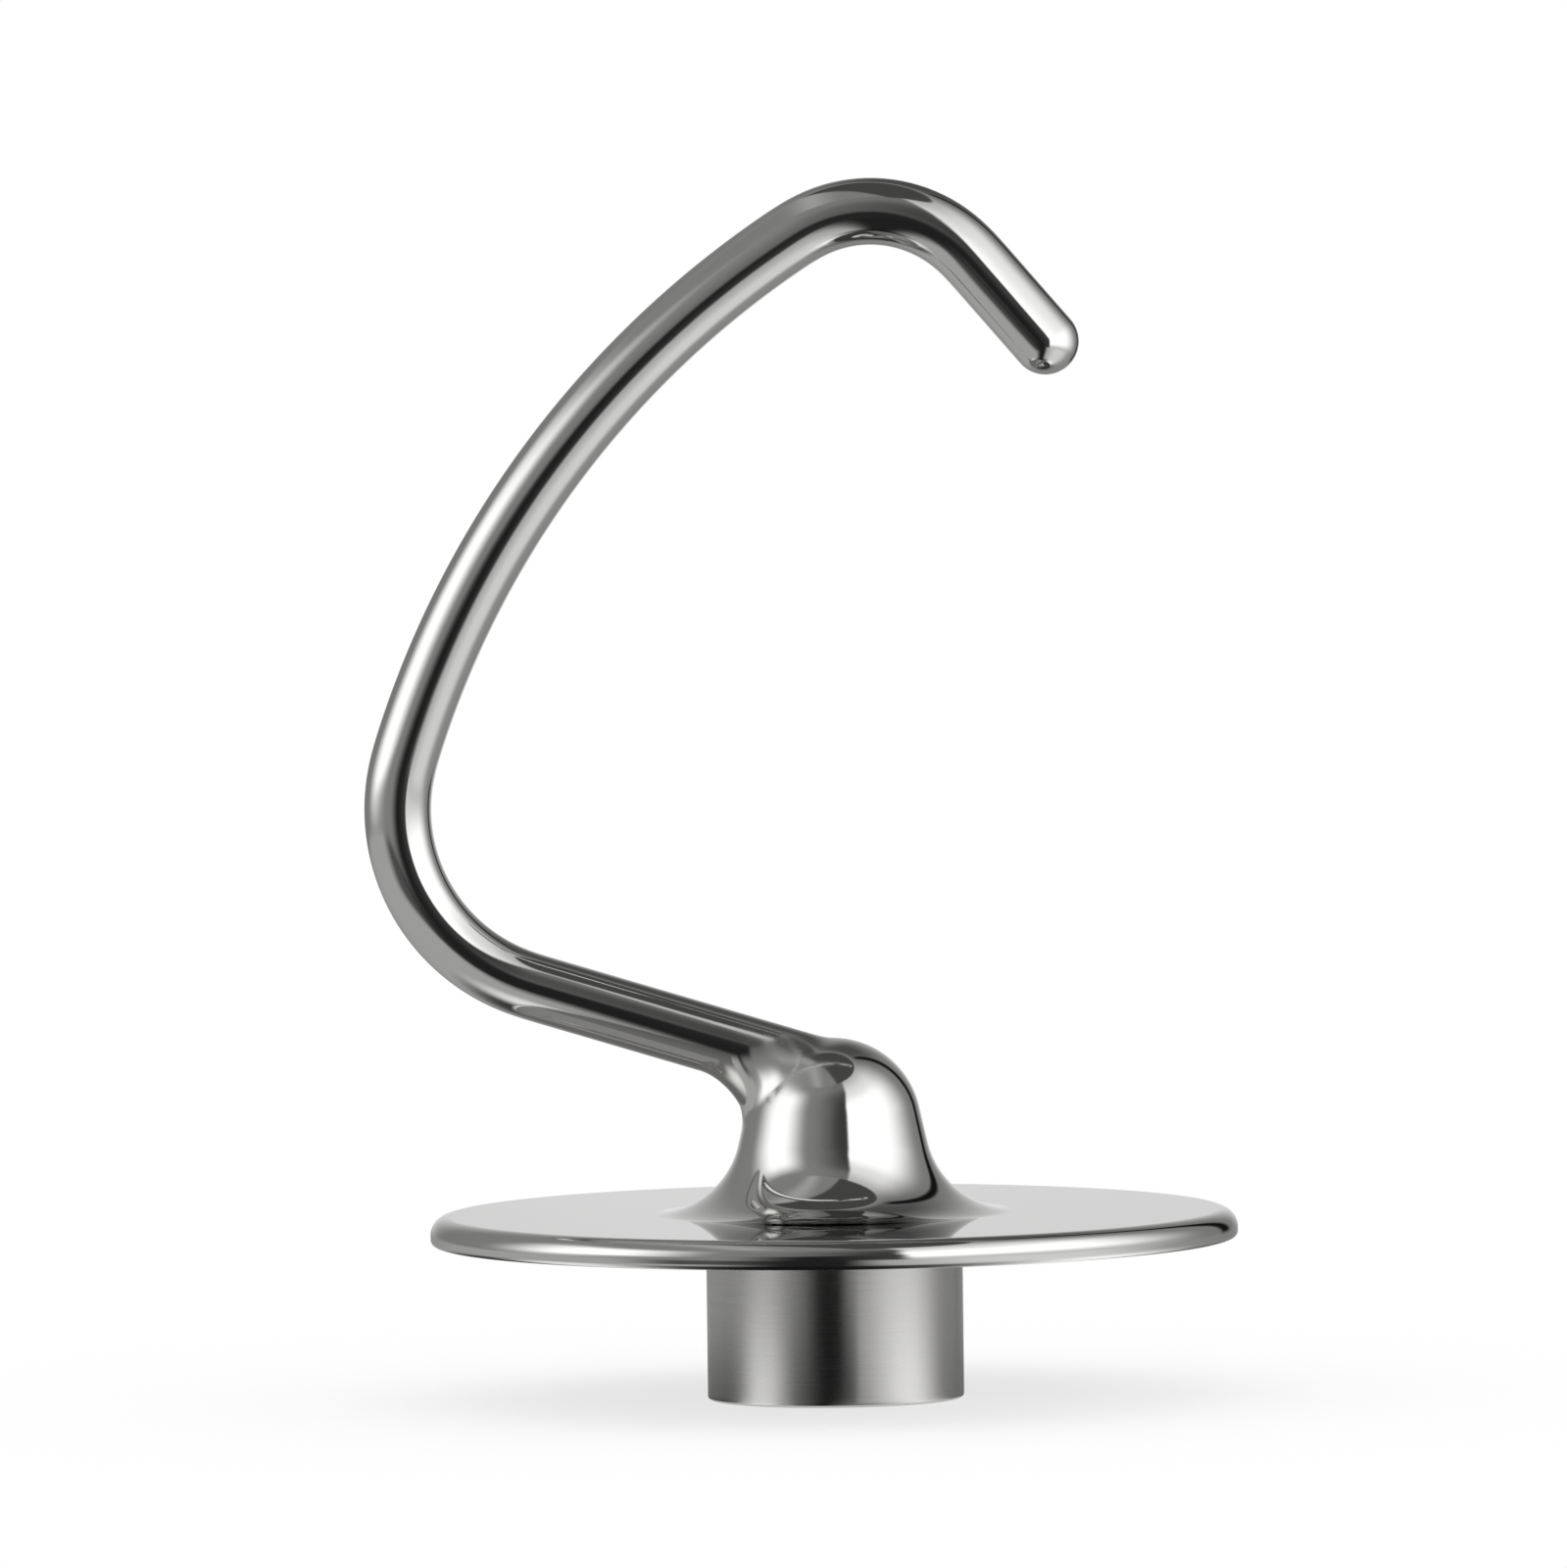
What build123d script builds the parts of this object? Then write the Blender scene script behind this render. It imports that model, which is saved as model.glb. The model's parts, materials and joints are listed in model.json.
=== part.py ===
import os
from math import cos, radians, sin

from build123d import *

os.makedirs("parts", exist_ok=True)

# A dough hook for a stand mixer with a tilting head, cast in stainless steel as one piece.
# It stands on its collar, as it does on a shelf: Z runs up the drive axis from the mouth of
# the collar, the arm leaves the boss towards -X, and the whole hook lies in the XZ plane.

# Collar: the turned end that slides up over the drive shaft.
COLLAR_DIA = 32.4
COLLAR_HEIGHT = 20.0
COLLAR_BEVEL = 0.5

# Shield: the disc that keeps dough from climbing up to the drive.
SHIELD_DIA = 102.0
SHIELD_THICKNESS = 3.6
SHIELD_ROUND = 2.4
SHIELD_BEVEL = 0.7

# Boss: a ball on a slight taper, which runs out into the shield through a wide flare.
BALL_RADIUS = 11.2
BALL_LIFT = 10.8
BOSS_TAPER = 12.6
BOSS_FLARE = 11.2

# Arm: round bar that climbs out of the ball just under its top, turns the heel, sweeps
# back over the boss and turns down at the crest into a short straight tip with a ball end.
ARM_DIA = 8.5
ARM_COVER = 0.69
CLIMB_ANGLE = 17.0
RUN_LENGTH = 39.8
HEEL_RADIUS = 23.2
HEEL_ANGLE = 90.4
SWEEP_RADIUS = 120.5
SWEEP_ANGLE = 40.1
CREST_RADIUS = 16.8
CREST_ANGLE = 81.9
TIP_LENGTH = 14.2
ARM_BLEND = 6.4

# Drive shaft and its cross pin, and the room they have in the socket.
SHAFT_DIA = 12.7
SHAFT_CLEARANCE = 0.2
PIN_DIA = 4.76
PIN_LENGTH = 22.2
PIN_CLEARANCE = 0.5

# Socket: the pin goes up through two slots, turns above the lip and drops into the catch.
SOCKET_DEPTH = 26.0
LIP_THICKNESS = 6.0
PIN_HEADROOM = 2.0
CATCH_DEPTH = 1.6
ENTRY_ANGLE = 90.0
LOCK_ANGLE = 70.0

# Heights and reaches that follow from the sizes above.
shield_top = COLLAR_HEIGHT + SHIELD_THICKNESS
ball_height = shield_top + BALL_LIFT
flare_height = shield_top + BOSS_FLARE
taper_sin, taper_cos = sin(radians(BOSS_TAPER)), cos(radians(BOSS_TAPER))
taper_height = ball_height - flare_height + (BALL_RADIUS + BOSS_FLARE) * taper_sin
flare_reach = (BALL_RADIUS + BOSS_FLARE) * taper_cos + taper_height * taper_sin / taper_cos
arm_lift = (BALL_RADIUS - ARM_DIA / 2 - ARM_COVER) / cos(radians(CLIMB_ANGLE))
slot_width = PIN_DIA + PIN_CLEARANCE
slot_length = PIN_LENGTH + PIN_CLEARANCE
pocket_height = PIN_DIA + PIN_HEADROOM

with BuildPart() as dough_hook:
    # Collar, shield, flare and taper turned about the drive axis.
    with BuildSketch(Plane.XZ) as turned:
        with BuildLine():
            flare = CenterArc((flare_reach, flare_height), BOSS_FLARE, 270, BOSS_TAPER - 90)
            Polyline(
                flare @ 0,
                (SHIELD_DIA / 2, shield_top),
                (SHIELD_DIA / 2, COLLAR_HEIGHT),
                (COLLAR_DIA / 2, COLLAR_HEIGHT),
                (COLLAR_DIA / 2, 0),
                (0, 0),
                (0, ball_height),
                (BALL_RADIUS * taper_cos, ball_height + BALL_RADIUS * taper_sin),
                flare @ 1,
            )
        make_face()
        fillet(turned.vertices().sort_by_distance((SHIELD_DIA / 2, shield_top))[0], SHIELD_ROUND)
        chamfer(turned.vertices().sort_by_distance((SHIELD_DIA / 2, COLLAR_HEIGHT))[0], SHIELD_BEVEL)
        chamfer(turned.vertices().sort_by_distance((COLLAR_DIA / 2, 0))[0], COLLAR_BEVEL)
    revolve(axis=Axis.Z)

    # Ball on top of the taper, its poles to the sides so that the arm's blend stays clear of them.
    with Locations((0, 0, ball_height)):
        Sphere(BALL_RADIUS, rotation=(90, 0, 0))

    # Arm swept along its centre line, with a ball end on the tip.
    with BuildLine(Plane.XZ) as centre_line:
        run = PolarLine((0, ball_height + arm_lift), RUN_LENGTH, 180 - CLIMB_ANGLE)
        heel = JernArc(run @ 1, run % 1, HEEL_RADIUS, -HEEL_ANGLE)
        back = JernArc(heel @ 1, heel % 1, SWEEP_RADIUS, -SWEEP_ANGLE)
        crest = JernArc(back @ 1, back % 1, CREST_RADIUS, -CREST_ANGLE)
        tip = Line(crest @ 1, crest @ 1 + (crest % 1) * TIP_LENGTH)
    with BuildSketch(Plane(origin=run @ 0, z_dir=run % 0)):
        Circle(ARM_DIA / 2)
    sweep(path=centre_line.wires()[0])
    with Locations(Plane(origin=tip @ 1, z_dir=tip % 1)):
        Sphere(ARM_DIA / 2, arc_size1=0, align=None)

    # The arm runs into the ball through a soft blend all round.
    fillet(dough_hook.edges().filter_by(GeomType.BSPLINE), ARM_BLEND)

    # Bore for the shaft.
    with BuildSketch():
        Circle((SHAFT_DIA + SHAFT_CLEARANCE) / 2)
    extrude(amount=SOCKET_DEPTH, mode=Mode.SUBTRACT)

    # Slots that let the pin in, then the pocket it turns in on both sides.
    with BuildSketch():
        Rectangle(slot_length, slot_width, rotation=ENTRY_ANGLE)
        Circle(slot_length / 2, mode=Mode.INTERSECT)
    extrude(amount=LIP_THICKNESS + pocket_height, mode=Mode.SUBTRACT)
    with BuildSketch(Plane.XY.offset(LIP_THICKNESS)):
        for start in (ENTRY_ANGLE, ENTRY_ANGLE + 180):
            with BuildLine():
                side = CenterArc((0, 0), slot_length / 2, start, LOCK_ANGLE)
                Polyline(side @ 1, (0, 0), side @ 0)
            make_face()
    extrude(amount=pocket_height, mode=Mode.SUBTRACT)

    # Catch at the end of the turn, sunk into the lip so that the pin drops in and stays.
    with BuildSketch(Plane.XY.offset(LIP_THICKNESS - CATCH_DEPTH)):
        Rectangle(slot_length, slot_width, rotation=ENTRY_ANGLE + LOCK_ANGLE)
        Circle(slot_length / 2, mode=Mode.INTERSECT)
    extrude(amount=CATCH_DEPTH + pocket_height, mode=Mode.SUBTRACT)

dough_hook.part.label = "dough_hook"
export_step(dough_hook.part, "parts/dough_hook.step")
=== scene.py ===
# %% [markdown]
# # A dough hook in polished steel
# The dough hook of a stand mixer is one piece of cast stainless steel. A bent round arm grows
# out of a ball on a thin disc, the shield, and under the shield a turned collar holds the socket
# for the drive shaft. Arm, ball and shield are mirror polished and the collar is satin.
# Polished metal has hardly a colour of its own: it shows the room. So this lesson spends its
# care on three things, a skin without a single facet, a finish with a polisher's small waves,
# and a studio of soft white panels and dark gaps for the steel to reflect.

# %% [markdown]
# ## The frame
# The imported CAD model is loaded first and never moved. Its box says how big the visual model may
# be and its record says how wide and deep the bore is, so those sizes are read, not retyped.
# All shapes below are worked out in millimetres and turned into metres at the end.

# %% Load the frame
import json
from math import asin, cos, degrees, pi, radians, sin

import bmesh
import bpy
import numpy as np
from mathutils import Matrix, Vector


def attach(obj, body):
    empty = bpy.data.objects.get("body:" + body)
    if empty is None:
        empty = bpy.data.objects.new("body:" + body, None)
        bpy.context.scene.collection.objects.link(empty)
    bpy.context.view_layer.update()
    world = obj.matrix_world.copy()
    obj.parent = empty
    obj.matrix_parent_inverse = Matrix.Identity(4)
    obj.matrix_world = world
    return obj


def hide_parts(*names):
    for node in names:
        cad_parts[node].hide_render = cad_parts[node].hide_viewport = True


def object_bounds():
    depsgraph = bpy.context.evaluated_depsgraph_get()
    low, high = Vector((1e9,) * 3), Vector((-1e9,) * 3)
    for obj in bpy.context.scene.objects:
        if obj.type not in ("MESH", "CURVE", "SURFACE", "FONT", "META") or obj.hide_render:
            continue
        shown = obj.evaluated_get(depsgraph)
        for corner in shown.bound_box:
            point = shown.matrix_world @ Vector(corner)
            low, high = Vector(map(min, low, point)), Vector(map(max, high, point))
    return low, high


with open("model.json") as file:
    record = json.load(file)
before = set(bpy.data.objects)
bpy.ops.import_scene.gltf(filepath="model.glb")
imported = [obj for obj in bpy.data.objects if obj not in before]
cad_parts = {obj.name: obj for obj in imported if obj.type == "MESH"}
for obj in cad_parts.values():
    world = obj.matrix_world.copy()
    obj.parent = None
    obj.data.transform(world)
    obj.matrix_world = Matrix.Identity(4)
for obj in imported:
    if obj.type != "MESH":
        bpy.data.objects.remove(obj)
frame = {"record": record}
cad_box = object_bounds()
MM = 0.001
low, high = (np.array(corner) / MM for corner in cad_box)
bore = next(mount["dims"] for mount in frame["record"]["mounts"] if mount["name"] == "shaft_bore")
print("CAD box in mm:", low.round(2), high.round(2), "and bore", bore)

# %% [markdown]
# ## The line of the arm
# The arm is a round bar bent in one plane: a straight climb out of the ball, a tight heel, a long
# sweep back over the ball, a tight crest and a short straight tip. Arcs joined end to end would
# do for a painted bar, but polish shows every jump in curvature as a kink in the reflections. A
# real bend eases in and out, so the line is walked in tiny steps from its curvature, and that
# curvature is averaged over a few millimetres first.

# %% Walk the line of the arm
ARM_RADIUS = 4.23
ARM_START = np.array((0.0, 40.95))
CLIMB_ANGLE = 17.0
CLIMB_LENGTH, TIP_LENGTH = 39.8, 14.2
BENDS = {"heel": (23.2, 90.4), "sweep": (120.5, 40.1), "crest": (16.8, 81.9)}
WALK_STEP = 0.02
EASE_LENGTH = 5.0

bend_lengths = [radius * radians(angle) for radius, angle in BENDS.values()]
stretch_ends = np.cumsum([CLIMB_LENGTH, *bend_lengths, TIP_LENGTH])
stations = np.arange(0, stretch_ends[-1], WALK_STEP)
stretch = np.searchsorted(stretch_ends, stations, side="right")
curvature = np.array([0, *(1 / radius for radius, angle in BENDS.values()), 0])[stretch]
window = round(EASE_LENGTH / WALK_STEP) | 1
padded = np.pad(curvature, window // 2, mode="edge")
eased = np.convolve(padded, np.full(window, 1 / window), mode="valid")
headings = radians(180 - CLIMB_ANGLE) - np.cumsum(eased) * WALK_STEP
steps = np.column_stack((np.cos(headings), np.sin(headings))) * WALK_STEP
line = ARM_START + np.cumsum(steps, axis=0)
heel_x, crest_z = line[:, 0].min(), line[:, 1].max()
print(f"arm: {stations[-1]:.1f} mm long, heel at x {heel_x:.2f}, crest at z {crest_z:.2f}")

# %% [markdown]
# ## Rings along the arm
# The whole skin is one row of rings with the same number of points, from the pole of the tip to
# the mouth of the collar, so that neighbours join into even four-sided faces. Here are the first:
# the rounded tip, and then the arm back to where it starts to swell into the ball. Each ring lies
# square to the line, its first point on the inner side of the hook.

# %% Make the tip and arm rings
COLUMNS = 160
RING_GAP = 0.9
TIP_RINGS = 22
SWELL_START = 16.0
around = np.linspace(0, 2 * pi, COLUMNS, endpoint=False)


def square_rings(centres, directions, radii):
    """Circles square to a line in the XZ plane, one for each centre, heading and radius."""
    inner = np.column_stack((np.sin(directions), -np.cos(directions)))
    flat = centres[:, None] + radii[:, None, None] * np.cos(around)[:, None] * inner[:, None]
    sideways = radii[:, None] * np.sin(around)
    return np.stack((flat[..., 0], sideways, flat[..., 1]), axis=-1)


polar = np.linspace(0, pi / 2, TIP_RINGS + 1)[1:-1]
tip_way = np.array((cos(headings[-1]), sin(headings[-1])))
tip_centres = line[-1] + ARM_RADIUS * np.cos(polar)[:, None] * tip_way
tip_rings = square_rings(tip_centres, np.full(len(polar), headings[-1]), ARM_RADIUS * np.sin(polar))
tip_pole = line[-1] + ARM_RADIUS * tip_way

ring_count = round((stations[-1] - SWELL_START) / RING_GAP)
picked = np.linspace(len(stations) - 1, SWELL_START / WALK_STEP, ring_count).astype(int)
arm_rings = square_rings(line[picked], headings[picked], np.full(ring_count, ARM_RADIUS))
print("rings:", len(tip_rings), "on the tip and", len(arm_rings), "on the arm")

# %% [markdown]
# ## Where the arm grows out of the ball
# On the real hook the caster's fillet melts the arm into the ball, and below the ball a slight
# taper flares out into the shield. A Boolean union with a bevel leaves a crease and uneven faces
# there, and a mirror finish would show both. Instead the bodies are written as distances: below
# zero inside, above zero outside. Between them the skin follows a ball that rolls along both.

# %% Describe ball, taper, flare and arm as distances
SHIELD_TOP = 23.6
BALL_RADIUS, BALL_HEIGHT = 11.2, 34.4
FLARE_RADIUS, TAPER_ANGLE = 11.2, 12.6
taper_sin, taper_cos = sin(radians(TAPER_ANGLE)), cos(radians(TAPER_ANGLE))
flare_height = SHIELD_TOP + FLARE_RADIUS
taper_drop = BALL_HEIGHT - flare_height + (BALL_RADIUS + FLARE_RADIUS) * taper_sin
flare_reach = (BALL_RADIUS + FLARE_RADIUS) * taper_cos + taper_drop * taper_sin / taper_cos
climb_way = np.array((-cos(radians(CLIMB_ANGLE)), 0, sin(radians(CLIMB_ANGLE))))
arm_root = np.array((ARM_START[0], 0, ARM_START[1]))


def arm_gap(points):
    """Distance from the skin of the climbing arm, which ends inside the ball."""
    reach = points - arm_root
    travel = np.maximum(reach @ climb_way, 0)
    return np.linalg.norm(reach - travel[..., None] * climb_way, axis=-1) - ARM_RADIUS


def boss_gap(points):
    """Distance from the skin of the ball, of the taper below it and of the flare at its foot."""
    reach, lift = np.hypot(points[..., 0], points[..., 1]), points[..., 2] - BALL_HEIGHT
    ball = np.hypot(reach, lift) - BALL_RADIUS
    taper = reach * taper_cos + lift * taper_sin - BALL_RADIUS
    flare = FLARE_RADIUS - np.hypot(reach - flare_reach, points[..., 2] - flare_height)
    down_taper = reach * taper_sin - lift * taper_cos
    return np.where(down_taper < 0, ball, np.where(down_taper < taper_drop / taper_cos, taper, flare))


print(f"boss: the flare runs out into the shield {flare_reach:.2f} mm from the drive axis")

# %% Join the distances with a rolling fillet
FILLET_RADIUS = 6.4
PROBE = 1e-4


def slope(gap, points):
    """The direction in which a distance grows, from a small step along each axis."""
    sides = [gap(points + step) - gap(points - step) for step in PROBE * np.eye(3)]
    return np.stack(sides, axis=-1) / (2 * PROBE)


def hook_gap(points):
    """Distance from the skin of arm and boss, with the fillet between them."""
    to_arm, to_boss = arm_gap(points), boss_gap(points)
    lean = np.sum(slope(arm_gap, points) * slope(boss_gap, points), axis=-1)
    in_arm, in_boss = FILLET_RADIUS - to_arm, FILLET_RADIUS - to_boss
    spread = np.maximum(1 - lean**2, PROBE)
    arm_share = (in_arm - lean * in_boss) / spread
    boss_share = (in_boss - lean * in_arm) / spread
    from_centre = np.sqrt(np.maximum(arm_share * in_arm + boss_share * in_boss, 0))
    rolls = (arm_share > 0) & (boss_share > 0)
    return np.where(rolls, FILLET_RADIUS - from_centre, np.minimum(to_arm, to_boss))


print("fillet: a ball of", FILLET_RADIUS, "mm rolls along the arm and the boss")

# %% [markdown]
# ## A fan of rings round the bend
# The last arm ring stands almost upright and the next turned ring lies flat, so the rings between
# them open like the pages of a book, hinged on a line in the hollow under the arm. On each page,
# rays leave a core point, and halving the interval finds where each one crosses the skin.

# %% Make the fan rings
HINGE = np.array((-19.04, 0, 33.4))
FAN_RINGS = 76
RAY_LENGTH = 16.0
HALVINGS = 40
ACROSS = np.array((0.0, 1.0, 0.0))
climb_normal = np.array((sin(radians(CLIMB_ANGLE)), 0, cos(radians(CLIMB_ANGLE))))
arm_core = (arm_root - HINGE) @ climb_normal
boss_core = -HINGE[0]


def fan_ring(share):
    """The ring on one page: share 0 is square to the arm and share 1 lies flat."""
    tilt = radians(90 - CLIMB_ANGLE) * (1 - share)
    page = np.array((cos(tilt), 0, sin(tilt)))
    core = HINGE + page * (arm_core + (boss_core - arm_core) * sin(share * pi / 2))
    rays = np.outer(np.cos(around), page) + np.outer(np.sin(around), ACROSS)
    near, far = np.zeros(COLUMNS), np.full(COLUMNS, RAY_LENGTH)
    for halving in range(HALVINGS):
        middle = (near + far) / 2
        inside = hook_gap(core + rays * middle[:, None]) < 0
        near, far = np.where(inside, middle, near), np.where(inside, far, middle)
    return core + rays * near[:, None]


fan_rings = np.array([fan_ring(share) for share in np.linspace(0, 1, FAN_RINGS)[1:]])
widest = np.abs(fan_rings[..., 1]).max()
print(f"fan: {len(fan_rings)} rings, widest point {widest:.2f} mm from the middle")

# %% [markdown]
# ## The turned half
# From the waist down everything is round about the drive axis: flare, shield with its soft rim,
# underside, and the collar. A Screw modifier could spin the profile, but the rings must go on from
# the fan, so the profile is listed as arcs and straights and each of its points becomes a ring.
# The last number of an arc or a straight says how many points it gets. Straights get extra points
# close to both ends, which keeps the shading flat right up to the arcs.

# %% Make the turned rings
SHIELD_RADIUS = min(high[0], high[1], -low[1])
SHIELD_BOTTOM, RIM_ROUND, RIM_EDGE = 20.0, 2.4, 0.7
COLLAR_RADIUS, COLLAR_EDGE, COLLAR_FILLET = 16.19, 0.5, 0.7
WAIST_POINTS, JOIN_POINTS = 4, (24, 6, 12, 12)


def arc(reach, height, radius, start, stop, count):
    """Profile points on an arc about (reach, height), from one angle in degrees to another."""
    swing = np.radians(np.linspace(start, stop, count))
    return np.column_stack((reach + radius * np.cos(swing), height + radius * np.sin(swing)))


def straight(begin, end, count):
    """Profile points between two ends, crowded towards both and without the ends themselves."""
    share = (1 - np.cos(np.linspace(0, pi, count + 2)[1:-1])) / 2
    return np.array(begin) + share[:, None] * (np.array(end) - begin)


hem = np.array(((BALL_RADIUS - (HINGE[2] - BALL_HEIGHT) * taper_sin) / taper_cos, HINGE[2]))
flare = arc(flare_reach, flare_height, FLARE_RADIUS, 180 + TAPER_ANGLE, 270, 56)
rim = arc(SHIELD_RADIUS - RIM_ROUND, SHIELD_TOP - RIM_ROUND, RIM_ROUND, 90, 0, 16)
rim_foot = arc(SHIELD_RADIUS - RIM_EDGE, SHIELD_BOTTOM + RIM_EDGE, RIM_EDGE, 0, -90, 8)
root_reach, root_height = COLLAR_RADIUS + COLLAR_FILLET, SHIELD_BOTTOM - COLLAR_FILLET
root = arc(root_reach, root_height, COLLAR_FILLET, 90, 180, 8)
mouth = arc(COLLAR_RADIUS - COLLAR_EDGE, COLLAR_EDGE, COLLAR_EDGE, 0, -90, 8)
arcs = [flare, rim, rim_foot, root, mouth]
joins = [straight(hem, flare[0], WAIST_POINTS)]
joins += [straight(a[-1], b[0], count) for a, b, count in zip(arcs, arcs[1:], JOIN_POINTS)]
profile = np.concatenate([row for pair in zip(joins, arcs) for row in pair])
circle = np.column_stack((np.cos(around), np.sin(around)))
flat_ring = np.column_stack((circle, np.ones(COLUMNS)))
turned_rings = flat_ring * profile[:, None][:, :, [0, 0, 1]]
print("turned:", len(turned_rings), "rings from", len(arcs), "arcs and the straights before them")

# %% [markdown]
# ## One skin
# The rings are stacked and joined. The pole of the tip closes one end and a flat face closes the
# mouth, so the mesh is watertight and a Boolean can cut the socket out of it.

# %% Join the rings into the skin
rings = np.concatenate((tip_rings, arm_rings, fan_rings, turned_rings))
pole = len(rings) * COLUMNS
cap = [(j, pole, (j + 1) % COLUMNS) for j in range(COLUMNS)]
mouth_face = [tuple(range(pole - COLUMNS, pole))]
points = np.vstack((rings.reshape(-1, 3), (tip_pole[0], 0, tip_pole[1]))) * MM


def ring_faces(ring_count, columns):
    """The four-sided faces between rings of points that are counted ring after ring."""
    start = np.arange(ring_count - 1)[:, None] * columns
    here = np.arange(columns)
    beside = (here + 1) % columns
    corners = (start + here, start + beside, start + columns + beside, start + columns + here)
    return np.stack(corners, axis=-1).reshape(-1, 4).tolist()


def closed_mesh(name, vertices, faces):
    """A mesh with its faces turned outwards."""
    mesh = bpy.data.meshes.new(name)
    mesh.from_pydata(vertices, [], faces)
    work = bmesh.new()
    work.from_mesh(mesh)
    bmesh.ops.recalc_face_normals(work, faces=work.faces)
    work.to_mesh(mesh)
    work.free()
    return mesh


def placed(name, mesh):
    """An object of that mesh, linked into the scene."""
    made = bpy.data.objects.new(name, mesh)
    bpy.context.scene.collection.objects.link(made)
    return made


faces = ring_faces(len(rings), COLUMNS) + cap + mouth_face
hook = placed("hook", closed_mesh("hook", points, faces))
print("skin:", len(hook.data.vertices), "points and", len(hook.data.polygons), "faces")

# %% [markdown]
# ## The socket
# The collar is pushed up over the drive shaft. A cross pin on the shaft enters through two slots
# beside the bore, is turned in a pocket above the lip and drops into a catch, a bayonet lock. Each
# of these spaces is a prism, and Boolean modifiers take them out of the skin. The bevel prism is
# wider at the mouth, which lets the shaft find its way in.

# %% Draw the outlines of the socket
BORE_RADIUS, BORE_DEPTH = bore["r_mm"], bore["length_mm"]
SLOT_HALF, SLOT_REACH = 2.63, 11.35
LIP, POCKET_TOP, CATCH_FLOOR = 6.0, 12.76, 4.4
ENTRY, LOCK_TURN = 90, 70
BORE_POINTS, SIDE_POINTS, SLOT_POINTS = 96, 40, 20


def sector(radius, start, stop, count):
    """Points on a circle about the drive axis between two angles in degrees."""
    swing = np.radians(np.linspace(start, stop, count))
    return radius * np.column_stack((np.cos(swing), np.sin(swing)))


def keyhole(turn, grow=0.0):
    """The bore with a slot on two sides, turned to an angle and grown all round."""
    waist = degrees(asin((SLOT_HALF + grow) / (BORE_RADIUS + grow)))
    end = degrees(asin((SLOT_HALF + grow) / (SLOT_REACH + grow)))
    sides = []
    for half_turn in (turn, turn + 180):
        sides.append(sector(SLOT_REACH + grow, half_turn - end, half_turn + end, SLOT_POINTS))
        from_slot, to_slot = half_turn + waist, half_turn + 180 - waist
        sides.append(sector(BORE_RADIUS + grow, from_slot, to_slot, SIDE_POINTS))
    return np.concatenate(sides)


round_bore = sector(BORE_RADIUS, 0, 360 - 360 / BORE_POINTS, BORE_POINTS)
locked = ENTRY + LOCK_TURN
wings = [sector(SLOT_REACH, ENTRY + half, locked + half, SIDE_POINTS) for half in (0, 180)]
bow_tie = np.concatenate(wings)
print("slots reach", SLOT_REACH, "mm and the lock turns", LOCK_TURN, "degrees")

# %% Cut the socket
BELOW = 1.0
MOUTH_BEVEL = 0.45
prisms = {
    "bore": ((round_bore, -BELOW), (round_bore, BORE_DEPTH)),
    "bevel": ((keyhole(ENTRY, MOUTH_BEVEL + BELOW), -BELOW), (keyhole(ENTRY), MOUTH_BEVEL)),
    "entry": ((keyhole(ENTRY), -BELOW), (keyhole(ENTRY), POCKET_TOP)),
    "catch": ((keyhole(locked), CATCH_FLOOR), (keyhole(locked), POCKET_TOP)),
    "pocket": ((bow_tie, LIP), (bow_tie, POCKET_TOP)),
}
cutters = []
for name, levels in prisms.items():
    count = len(levels[0][0])
    layers = [np.column_stack((outline, np.full(count, height))) for outline, height in levels]
    vertices = np.vstack(layers) * MM
    walls = [(j, (j + 1) % count, count + (j + 1) % count, count + j) for j in range(count)]
    ends = [tuple(range(count)), tuple(range(count, 2 * count))]
    cutter = placed(name, closed_mesh(name, vertices, walls + ends))
    cut = hook.modifiers.new(name, "BOOLEAN")
    cut.operation, cut.solver, cut.object = "DIFFERENCE", "EXACT", cutter
    cutters.append(cutter)
evaluated = hook.evaluated_get(bpy.context.evaluated_depsgraph_get())
hook.data = bpy.data.meshes.new_from_object(evaluated)
hook.modifiers.clear()
for cutter in cutters:
    bpy.data.objects.remove(cutter)
print("hook with socket:", len(hook.data.polygons), "faces")

# %% Shade the hook and put it on its body
SHARP_ANGLE = 32
hook.data.shade_smooth()
hook.data.set_sharp_from_angle(angle=radians(SHARP_ANGLE))
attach(hook, "root")
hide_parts("dough_hook")
print("edges sharper than", SHARP_ANGLE, "degrees stay crisp")

# %% [markdown]
# ## Three finishes on one casting
# The maker treats the same steel in three ways. Arm, boss and shield are polished. The collar is
# turned on a lathe, and the socket and the underside stay as the cutter left them. Each finish is
# a material of its own, and the faces are shared out by where they lie.

# %% Share the faces out between the finishes
FINISHES = ("polished_steel", "turned_steel", "cut_steel")
SOCKET_REACH, UNDERSIDE_FROM = 12.0, COLLAR_RADIUS + COLLAR_FILLET
MARGIN = 0.1
finishes = {name: bpy.data.materials.new(name) for name in FINISHES}
for finish in finishes.values():
    finish.use_nodes = True
    hook.data.materials.append(finish)

centres = np.zeros(len(hook.data.polygons) * 3)
hook.data.polygons.foreach_get("center", centres)
east, north, up = centres.reshape(-1, 3).T / MM
reach = np.hypot(east, north)
choice = np.zeros(len(up), dtype=int)
choice[(up < SHIELD_BOTTOM) & (reach <= UNDERSIDE_FROM)] = FINISHES.index("turned_steel")
choice[(up < SHIELD_BOTTOM + MARGIN) & (reach > UNDERSIDE_FROM)] = FINISHES.index("cut_steel")
choice[(up < BORE_DEPTH + MARGIN) & (reach < SOCKET_REACH)] = FINISHES.index("cut_steel")
hook.data.polygons.foreach_set("material_index", choice)
print("faces by finish:", dict(zip(FINISHES, np.bincount(choice, minlength=3).tolist())))


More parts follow.
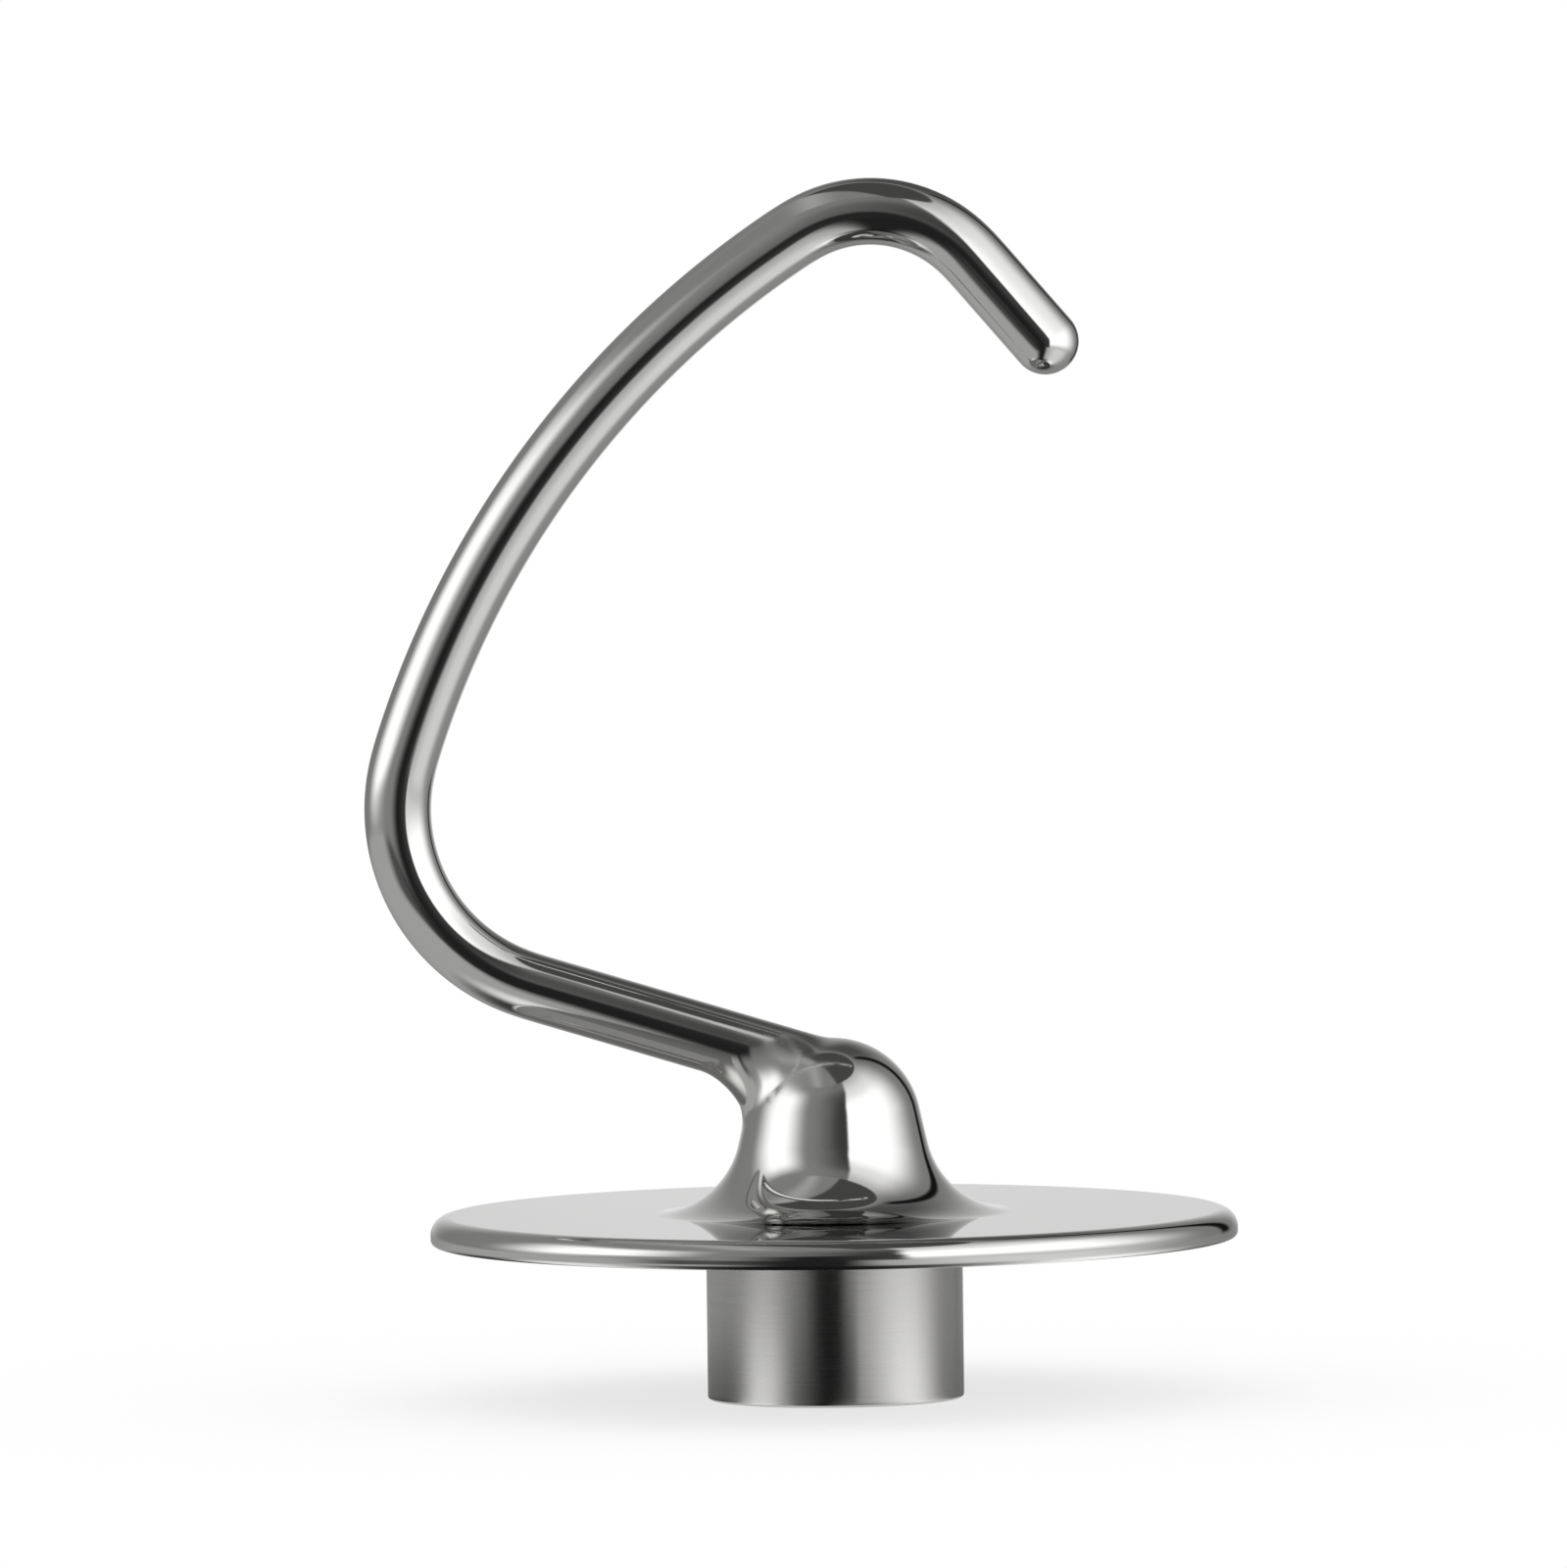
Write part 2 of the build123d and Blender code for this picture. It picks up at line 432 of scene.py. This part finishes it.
# %% Make helpers for the nodes
def node(tree, kind, sockets=None, **settings):
    """Adds a node. Each named socket gets a constant, or a link from another node's output."""
    made = tree.nodes.new(kind)
    for name, value in settings.items():
        setattr(made, name, value)
    for name, value in (sockets or {}).items():
        if isinstance(value, bpy.types.NodeSocket):
            tree.links.new(value, made.inputs[name])
        else:
            made.inputs[name].default_value = value
    return made


def maths(tree, operation, *values):
    """The result of one operation on outputs and numbers."""
    return node(tree, "ShaderNodeMath", dict(enumerate(values)), operation=operation).outputs[0]


def ramp(tree, value, start, stop, first, last):
    """An output that goes from first to last while a value goes from start to stop."""
    sockets = {"Value": value, "From Min": start, "From Max": stop, "To Min": first, "To Max": last}
    return node(tree, "ShaderNodeMapRange", sockets).outputs["Result"]


def noise(tree, place, scale, detail):
    """The grey output of a noise texture."""
    sockets = {"Vector": place, "Scale": scale, "Detail": detail}
    return node(tree, "ShaderNodeTexNoise", sockets).outputs["Fac"]


def tones(tree, share, dull, bright):
    """A colour that goes from a dull one to a bright one as a share grows."""
    sockets = {"Factor": share, "A": dull, "B": bright}
    return node(tree, "ShaderNodeMix", sockets, data_type="RGBA").outputs["Result"]


def bumps(tree, height, depth, **more):
    """A surface direction for a relief as deep as that many millimetres."""
    sockets = {"Height": height, "Distance": depth * MM, **more}
    return node(tree, "ShaderNodeBump", sockets).outputs["Normal"]


print("node helpers: ready for", len(FINISHES), "finishes")

# %% [markdown]
# ## Polished steel
# A buffing wheel leaves a mirror that is never quite even. Its waves, some eight millimetres long
# and a few hundredths deep, make reflections swim a little, haze comes and goes, and a grain of
# fine scratches runs everywhere. Waves and scratches go into the bump and haze into the roughness.
# The top of the shield is polished while it spins, so it has a finer mirror, no waves, and rings
# too fine to see one by one. The texture of the rings is read at a point made of the radius, and
# two ramps fade them out towards the boss and the rim, so that no border shows. The wheel can't
# reach the tight corner between arm and ball. That is blended by hand, so streaks of haze gather
# there. And at a glancing angle steel is no perfect mirror: the edge tint takes some light away.

# %% Measure where the shield was spun and the corner blended by hand
SPUN_TOP, SPUN_RIM, RIM_FADE = 27.5, SHIELD_RADIUS - RIM_ROUND, 0.6
CORNER, CORNER_FROM, CORNER_TO = (-6.0, 0.0, 43.5), 3.0, 8.5
polished = finishes["polished_steel"].node_tree
place = node(polished, "ShaderNodeTexCoord").outputs["Object"]
parts = node(polished, "ShaderNodeSeparateXYZ", {"Vector": place}).outputs
flat = node(polished, "ShaderNodeCombineXYZ", {"X": parts["X"], "Y": parts["Y"]}).outputs[0]
radius = node(polished, "ShaderNodeVectorMath", {0: flat}, operation="LENGTH").outputs["Value"]
under_boss = ramp(polished, parts["Z"], SHIELD_TOP * MM, SPUN_TOP * MM, 1.0, 0.0)
off_rim = ramp(polished, radius, (SPUN_RIM - RIM_FADE) * MM, (SPUN_RIM + RIM_FADE) * MM, 1.0, 0.0)
spun = maths(polished, "MULTIPLY", under_boss, off_rim)
buffed = maths(polished, "SUBTRACT", 1.0, spun)
side = node(polished, "ShaderNodeCombineXYZ", {"X": parts["X"], "Z": parts["Z"]}).outputs[0]
corner_place = {0: side, 1: tuple(c * MM for c in CORNER)}
away = node(polished, "ShaderNodeVectorMath", corner_place, operation="DISTANCE").outputs["Value"]
by_hand = ramp(polished, away, CORNER_FROM * MM, CORNER_TO * MM, 1.0, 0.0)
print(f"spun out to {SPUN_RIM:.1f} mm, blended by hand up to {CORNER_TO} mm from the corner")

# %% Make the polished steel
DULL_MIRROR, BRIGHT_MIRROR = (0.635, 0.632, 0.622, 1), (0.685, 0.682, 0.672, 1)
EDGE_TINT = (0.76, 0.76, 0.76, 1)
BUFFED_ROUGH, SPUN_ROUGH, HAND_ROUGH = (0.035, 0.085), -0.03, 0.20
HAZE_SCALE, STREAK_SCALE, WAVE_SCALE, RING_SCALE, GRAIN_SCALE = 55.0, 260.0, 115.0, 1500.0, 2600.0
WAVE_DEPTH, RING_DEPTH, GRAIN_DEPTH = 0.03, 0.0003, 0.0003
shader = polished.nodes["Principled BSDF"]
shader.inputs["Metallic"].default_value = 1.0
shader.inputs["Specular Tint"].default_value = EDGE_TINT
haze = noise(polished, place, HAZE_SCALE, 4.0)
mirror = ramp(polished, haze, 0.3, 0.7, *BUFFED_ROUGH)
rough = maths(polished, "MULTIPLY_ADD", spun, SPUN_ROUGH, mirror)
streak = noise(polished, place, STREAK_SCALE, 3.0)
streaks = ramp(polished, streak, 0.35, 0.65, 0.25 * HAND_ROUGH, HAND_ROUGH)
rough = maths(polished, "MULTIPLY_ADD", by_hand, streaks, rough)
waves = noise(polished, place, WAVE_SCALE, 0.6)
swim = bumps(polished, waves, WAVE_DEPTH, Strength=buffed)
ring_place = node(polished, "ShaderNodeCombineXYZ", {"X": radius, "Z": parts["Z"]}).outputs[0]
spun_rings = noise(polished, ring_place, RING_SCALE, 3.0)
swim = bumps(polished, spun_rings, RING_DEPTH, Strength=spun, Normal=swim)
scratches = bumps(polished, noise(polished, place, GRAIN_SCALE, 2.0), GRAIN_DEPTH, Normal=swim)
steel_tone = tones(polished, haze, DULL_MIRROR, BRIGHT_MIRROR)
polished.links.new(steel_tone, shader.inputs["Base Color"])
polished.links.new(rough, shader.inputs["Roughness"])
polished.links.new(scratches, shader.inputs["Normal"])
print("polished steel:", len(polished.nodes), "nodes")

# %% [markdown]
# ## Turned steel
# The lathe tool cuts a fine thread round the collar, and a light polish blurs it to satin. The
# grooves spread light up and down, not sideways, so panels show as soft upright bands. That is
# anisotropy. The shader stretches a highlight along its tangent, which runs round the axis here,
# so a quarter turn sets the stretch upright. Squeezed noise gives the grooves themselves.

# %% Make the turned steel
DULL_SATIN, BRIGHT_SATIN = (0.60, 0.595, 0.585, 1), (0.65, 0.645, 0.635, 1)
SATIN_ROUGH = (0.22, 0.28)
STRETCH, QUARTER_TURN = 0.9, 0.25
GROOVE_SQUEEZE, GROOVE_DEPTH = (12.0, 12.0, 5200.0), 0.0008
turned = finishes["turned_steel"].node_tree
shader = turned.nodes["Principled BSDF"]
shader.inputs["Metallic"].default_value = 1.0
shader.inputs["Anisotropic"].default_value = STRETCH
shader.inputs["Anisotropic Rotation"].default_value = QUARTER_TURN
shader.inputs["Specular Tint"].default_value = EDGE_TINT
place = node(turned, "ShaderNodeTexCoord").outputs["Object"]
squeeze = node(turned, "ShaderNodeMapping", {"Vector": place, "Scale": GROOVE_SQUEEZE}).outputs[0]
grooves = noise(turned, squeeze, 1.0, 3.0)
round_axis = node(turned, "ShaderNodeTangent", direction_type="RADIAL", axis="Z").outputs["Tangent"]
turned.links.new(tones(turned, grooves, DULL_SATIN, BRIGHT_SATIN), shader.inputs["Base Color"])
turned.links.new(ramp(turned, grooves, 0.3, 0.7, *SATIN_ROUGH), shader.inputs["Roughness"])
turned.links.new(bumps(turned, grooves, GROOVE_DEPTH), shader.inputs["Normal"])
turned.links.new(round_axis, shader.inputs["Tangent"])
print("turned steel:", len(turned.nodes), "nodes")

# %% [markdown]
# ## Cut steel
# Inside the socket and under the shield nobody polishes. The surface is grey, a little rough, and
# speckled where the casting's skin still shows.

# %% Make the cut steel
DULL_CUT, BRIGHT_CUT = (0.46, 0.455, 0.445, 1), (0.60, 0.595, 0.585, 1)
CUT_ROUGH = (0.30, 0.42)
SPECKLE_SCALE, PIT_DEPTH = 900.0, 0.006
rough_cut = finishes["cut_steel"].node_tree
shader = rough_cut.nodes["Principled BSDF"]
shader.inputs["Metallic"].default_value = 1.0
place = node(rough_cut, "ShaderNodeTexCoord").outputs["Object"]
speckle = noise(rough_cut, place, SPECKLE_SCALE, 5.0)
rough_cut.links.new(tones(rough_cut, speckle, DULL_CUT, BRIGHT_CUT), shader.inputs["Base Color"])
rough_cut.links.new(ramp(rough_cut, speckle, 0.3, 0.7, *CUT_ROUGH), shader.inputs["Roughness"])
rough_cut.links.new(bumps(rough_cut, speckle, PIT_DEPTH), shader.inputs["Normal"])
print("cut steel:", len(rough_cut.nodes), "nodes")

# %% [markdown]
# ## The floor and the surroundings
# The hook stands on a plain white floor that runs out of sight, in white surroundings. A floor that
# takes all its white from the sky would show a heavy shadow, because little sky reaches the ground
# under the shield. So less than a third of its white is paint, and the rest is a glow of its own
# for the rays that look straight at it or by way of a mirror. That keeps the shadow soft.

# %% Lay the floor
FLOOR_SIDE = 40.0
FLOOR_PAINT, FLOOR_GLOW, FLOOR_ROUGH = 0.3, 0.7, 0.9
WHITE = (1, 1, 1, 1)
corner = FLOOR_SIDE / 2
floor = placed("floor", bpy.data.meshes.new("floor"))
square = [(-corner, -corner, 0), (corner, -corner, 0), (corner, corner, 0), (-corner, corner, 0)]
floor.data.from_pydata(square, [], [(0, 1, 2, 3)])
white_floor = bpy.data.materials.new("white_floor")
white_floor.use_nodes = True
floor.data.materials.append(white_floor)
tree = white_floor.node_tree
shader = tree.nodes["Principled BSDF"]
shader.inputs["Base Color"].default_value = (FLOOR_PAINT, FLOOR_PAINT, FLOOR_PAINT, 1)
shader.inputs["Roughness"].default_value = FLOOR_ROUGH
shader.inputs["Specular IOR Level"].default_value = 0.0
shader.inputs["Emission Color"].default_value = WHITE
rays = node(tree, "ShaderNodeLightPath").outputs
seen = maths(tree, "ADD", rays["Is Camera Ray"], rays["Is Glossy Ray"])
seen = maths(tree, "ADD", seen, rays["Is Transmission Ray"])
tree.links.new(ramp(tree, seen, 0.0, 1.0, 0.0, FLOOR_GLOW), shader.inputs["Emission Strength"])
print("floor:", FLOOR_SIDE, "m square, paint", FLOOR_PAINT, "and glow", FLOOR_GLOW)

# %% Make the surroundings white
world = bpy.data.worlds.new("white_surroundings")
bpy.context.scene.world = world
world.use_nodes = True
sky = world.node_tree.nodes["Background"]
sky.inputs["Color"].default_value = WHITE
sky.inputs["Strength"].default_value = 1.0
print("surroundings: white at strength", sky.inputs["Strength"].default_value)

# %% [markdown]
# ## The light tent
# Photographers shoot polished metal in a light tent: pale cloth all round, lamps that glow through
# it from outside, and a slit for the lens. The steel shows the glows as soft white panels and the
# slit as a black line down its middle. Area lamps could do it too, but only with hard edges. So the
# tent is a drum of rings, and every point of its cloth carries its own brightness. Neither the
# camera nor the floor sees the tent, only reflections do.

# %% Sew the tent
TENT_MIDDLE = np.array((-110.0, -45.0))
TENT_RADIUS, TENT_HEIGHT = 350.0, 670.0
TENT_COLUMNS, SEAM_RINGS = 360, 80
FLOOR_GAP, PINHOLE = 0.3, 0.5
bottom = [(PINHOLE, FLOOR_GAP), (TENT_RADIUS, FLOOR_GAP)]
top = [(TENT_RADIUS, TENT_HEIGHT), (PINHOLE, TENT_HEIGHT)]
seams = bottom + top
cloth_rings = np.concatenate([straight(a, b, SEAM_RINGS) for a, b in zip(seams, seams[1:])])
turns = np.linspace(0, 2 * pi, TENT_COLUMNS, endpoint=False)
cloth_x = TENT_MIDDLE[0] + np.outer(cloth_rings[:, 0], np.cos(turns))
cloth_y = TENT_MIDDLE[1] + np.outer(cloth_rings[:, 0], np.sin(turns))
cloth_z = np.repeat(cloth_rings[:, 1:], TENT_COLUMNS, axis=1)
cloth_points = np.stack((cloth_x, cloth_y, cloth_z), axis=-1).reshape(-1, 3) * MM
cloth_faces = ring_faces(len(cloth_rings), TENT_COLUMNS)
tent = placed("tent", closed_mesh("tent", cloth_points, cloth_faces))
tent.visible_camera = tent.visible_diffuse = tent.visible_shadow = False
print("tent:", len(cloth_rings), "rings of", TENT_COLUMNS, "points")

# %% [markdown]
# ## Panels on the walls
# A panel is a stretch of cloth that glows or stays dark, with soft edges. It could be painted by
# hand, but a few numbers are easier to move. Its place is told by a bearing, the degrees round the
# hook: 0 is towards the camera, plus is to the right, and behind the hook the rear bearing goes on
# past 180. Heights are in millimetres. Every edge has a softness of its own, over which it fades.
# Each panel is laid over what hangs there already: first the back, then lamps, and last the slit.


# %% Measure the cloth
def rise(value, middle, width):
    """0 to 1 over a width about a middle, smooth at both ends."""
    share = np.clip((value - middle) / width + 0.5, 0, 1)
    return share * share * (3 - 2 * share)


def fall(value, middle, width):
    """1 to 0 over a width about a middle, smooth at both ends."""
    return 1 - rise(value, middle, width)


def between(value, start, start_soft, stop, stop_soft):
    """1 between a start and a stop, 0 outside, each edge with a softness of its own."""
    return rise(value, start, start_soft) - rise(value, stop, stop_soft)


def lit(cloth, brightness, share):
    """Moves the brightness of the cloth towards another by a share."""
    return cloth + (brightness - cloth) * share


bearing = np.degrees(np.arctan2(cloth_x, -cloth_y))
rear = bearing % 360
distance = np.hypot(cloth_x, cloth_y)
print(f"cloth: up to {distance.max():.0f} mm from the drive axis")

# %% Hang the back of the tent
BARE_CLOTH, DIM_CLOTH, TOP_CLOTH = 0.30, 0.10, 0.35
SIDE_SHEET, BACK_SHEET = 0.50, 0.99
dim_back = between(rear, 135, 50, 195, 40) * rise(cloth_z, 240, 200)
top_back = between(rear, 120, 60, 240, 60) * rise(cloth_z, 580, 160)
side_sheet = between(rear, 178, 20, 207, 30) * fall(cloth_z, 290, 300)
back_sheet = between(rear, 158, 24, 200, 30) * fall(cloth_z, 110, 260)
wall = lit(BARE_CLOTH, DIM_CLOTH, dim_back)
wall = lit(wall, TOP_CLOTH, top_back)
wall = lit(wall, SIDE_SHEET, side_sheet)
wall = lit(wall, BACK_SHEET, back_sheet)
print(f"back: brightness from {wall.min():.2f} to {wall.max():.2f}")

# %% Hang the lamps
LAMP, LAMP_GAP = 1.6, 0.09
lamp_edge = 19 + 0.03 * np.clip(cloth_z - 220, 0, 150)
lamp_gap = between(bearing, -9, 56, lamp_edge, 6) * (1 - 0.6 * rise(cloth_z, 420, 200))
upper = rise(cloth_z, 115, 90)
left_lamp = between(bearing, -98, 40, lit(-72, -50, upper), lit(60, 36, upper))
left_lamp = left_lamp * between(cloth_z, 60, 170, 440, 260)
right_lamp = between(bearing, lamp_edge, 6, 98, 60)
right_lamp = right_lamp * lit(0.35, 1.0, rise(cloth_z, 65, 80))
right_lamp = right_lamp * (1 - 0.35 * rise(cloth_z, 270, 140))
right_lamp = right_lamp * (1 - 0.55 * rise(cloth_z, 450, 320))
wall = lit(wall, LAMP_GAP, lamp_gap)
wall = lit(wall, LAMP, left_lamp)
wall = lit(wall, LAMP, right_lamp)
print(f"lamps: brightness up to {wall.max():.2f}")

# %% Cut the slit for the lens and the dark seam
SLIT, UPPER_SLIT, SEAM = 0.02, 0.06, 0.01
slit_edge = 7 + 0.17 * np.clip(cloth_z - 20, 0, 70)
slit = between(bearing, -19, 24, slit_edge, 5) * fall(cloth_z, 160, 60)
upper_slit = between(bearing, 7, 24, lamp_edge, 5) * fall(cloth_z, 290, 140)
seam = between(bearing, 135, 4, 144, 4) * fall(cloth_z, 500, 120)
wall = lit(wall, SLIT, slit)
wall = lit(wall, UPPER_SLIT, upper_slit)
wall = lit(wall, SEAM, seam)
print(f"slit and seam: brightness down to {wall.min():.2f}")

# %% [markdown]
# ## Roof and ground
# The roof glows on the left and is dark on the right, along a slanting line, which puts the dark
# notch between the two panels in the ball. Its brighter strip lights the underside of the arm, by
# way of the shield. The ground is pale cloth too, with the foot of the right lamp's glow on it and
# a dark lane towards the lens.

# %% Light the roof and the ground
ROOF_CLOTH, ROOF_STRIP, DARK_ROOF = 0.29, 0.52, 0.08
GROUND_CLOTH, BACK_GROUND, LAMP_GROUND = 0.50, 0.36, 0.90
DIM_LANE, DARK_LANE = 0.10, 0.02
tent_front = TENT_MIDDLE[1] - TENT_RADIUS
roof_line = 80 - 0.482 * (cloth_y - tent_front)
roof = lit(ROOF_CLOTH, ROOF_STRIP, between(cloth_x, -270, 160, -170, 160))
roof = lit(roof, DARK_ROOF, rise(cloth_x, roof_line, 40))
ground = lit(GROUND_CLOTH, BACK_GROUND, between(rear, 100, 50, 205, 60))
ground = lit(ground, LAMP_GROUND, between(bearing, 27, 40, 86, 40))
ground = lit(ground, DIM_LANE, between(bearing, -52, 24, 0, 10) * rise(distance, 220, 80))
ground = lit(ground, DARK_LANE, between(bearing, -22, 24, 9, 14))
print(f"roof from {roof.min():.2f} to {roof.max():.2f}, ground to {ground.max():.2f}")

# %% [markdown]
# ## Panels for the collar
# The collar looks down at the ground close by, which the shield hides from everything else.
# That ground is painted dark, a painted shadow of the shield, and glowing panels laid on it
# give the collar its bands. On the real one the bands stand upright from top to bottom. Panels that
# start at the drive axis would
# flare towards the collar's foot, because a reflection starts at its skin and not at the axis. So
# ground is measured by the aim of the reflection that reaches it: twice the bearing of the spot on
# the collar that sends it there. A few rounds of improving a first guess find that spot.

# %% Light the ground beside the collar
NEAR_SHADE, NEAR_BACK, NEAR_SLIT = 0.06, 0.24, 0.01
NEAR_LEFT, NEAR_RIGHT = 1.10, 1.35
ROUNDS = 12
closeness = np.minimum(COLLAR_RADIUS / distance, 1)
spot = bearing / 2
for improvement in range(ROUNDS):
    spot = (bearing + np.degrees(np.arcsin(closeness * np.sin(np.radians(spot))))) / 2
aim = 2 * spot
# Painted shade: the ground beside the collar starts dark as the shield's shadow, with glowing panels
# laid over it
near = lit(NEAR_SHADE, NEAR_BACK, between(aim % 360, 95, 48, 220, 60))
near = lit(near, NEAR_LEFT, between(aim, -86, 30, -48, 34))
near = lit(near, NEAR_RIGHT, between(aim, 44, 50, 95, 48))
near = lit(near, NEAR_SLIT, between(aim, -29, 24, 14, 18))
ground = lit(near, ground, rise(distance, 78, 36))
print(f"beside the collar: brightness from {near.min():.2f} to {near.max():.2f}")

# %% Make the cloth glow
cloth = lit(ground, wall, rise(cloth_z, 15, 30))
light = lit(cloth, roof, rise(cloth_z, 645, 50))
stain = tent.data.attributes.new("light", "FLOAT", "POINT")
stain.data.foreach_set("value", light.ravel().astype(np.float32))
tent_cloth = bpy.data.materials.new("tent_cloth")
tent_cloth.use_nodes = True
tree = tent_cloth.node_tree
tree.nodes.clear()
stored = node(tree, "ShaderNodeAttribute", attribute_name="light")
shine = node(tree, "ShaderNodeEmission", {"Strength": stored.outputs["Fac"]})
node(tree, "ShaderNodeOutputMaterial", {"Surface": shine.outputs["Emission"]})
tent.data.materials.append(tent_cloth)
print(f"tent: brightness from {light.min():.2f} to {light.max():.2f}")

# %% [markdown]
# ## The camera
# The hook was photographed with a long lens from a little above, so its edges hardly converge. The
# place, aim and focal length here were fitted to the photograph, which hangs a fraction askew.

# %% Place the camera
FRAME_SIDE = 1600
SENSOR = 36.0
FOCAL_PIXELS = 24297.2
FAR_LIMIT = 100
CAMERA_PLACE = np.array((23.55, -3000.0, 243.5))
PITCH, YAW, ROLL = 3.162, -0.559, 0.688

lens = bpy.data.cameras.new("camera")
lens.sensor_width = SENSOR
lens.lens = SENSOR * FOCAL_PIXELS / FRAME_SIDE
lens.clip_end = FAR_LIMIT
camera = placed("camera", lens)
level = Matrix.Rotation(pi / 2 - radians(PITCH), 4, "X")
swing = Matrix.Rotation(-radians(YAW), 4, "Z")
tilt = Matrix.Rotation(-radians(ROLL), 4, "Z")
camera.matrix_world = Matrix.Translation(CAMERA_PLACE * MM) @ swing @ level @ tilt
bpy.context.scene.camera = camera
bpy.context.scene.view_settings.view_transform = "Standard"
print(f"camera: {lens.lens:.1f} mm lens, {PITCH} degrees down")
